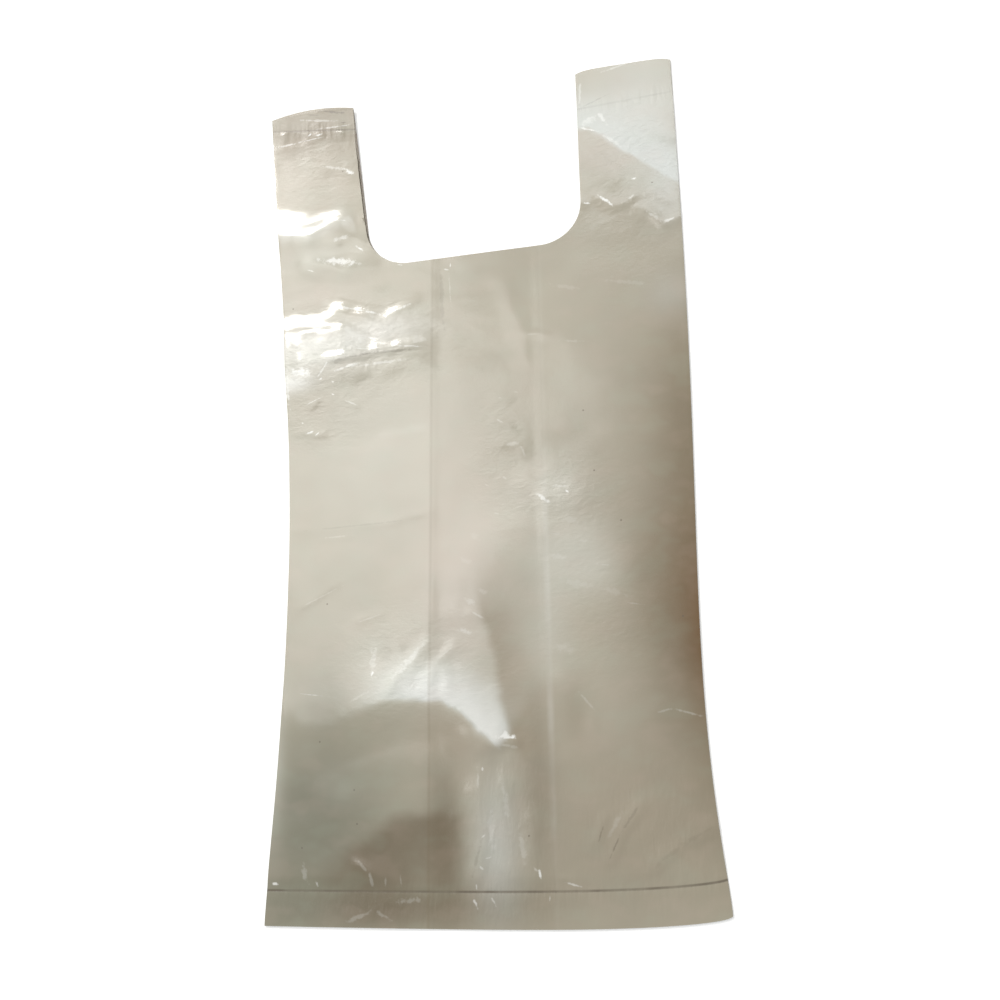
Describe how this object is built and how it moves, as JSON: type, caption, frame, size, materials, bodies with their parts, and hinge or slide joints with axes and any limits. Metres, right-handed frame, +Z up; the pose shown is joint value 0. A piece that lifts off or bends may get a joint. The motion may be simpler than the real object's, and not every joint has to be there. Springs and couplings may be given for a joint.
{
  "type": "plastic carrier bag",
  "caption": "Empty thin-film carrier bag lying flat, with folded side gussets, a U-shaped mouth between its handles and welded ends.",
  "frame": {"origin": "under the middle of the lay-flat outline, on the surface that the bag lies on", "axes": "+X across the bag to the taller handle's side, +Y along it from the bottom weld to the handles, +Z up through the film layers to the front"},
  "size_m": [0.2104, 0.4138, 0.0047],
  "materials": {
    "film": "thin, milky, glossy beige polythene film, lightly creased"
  },
  "bodies": {
    "root": {"carrier_bag": "film"}
  },
  "joints": []
}
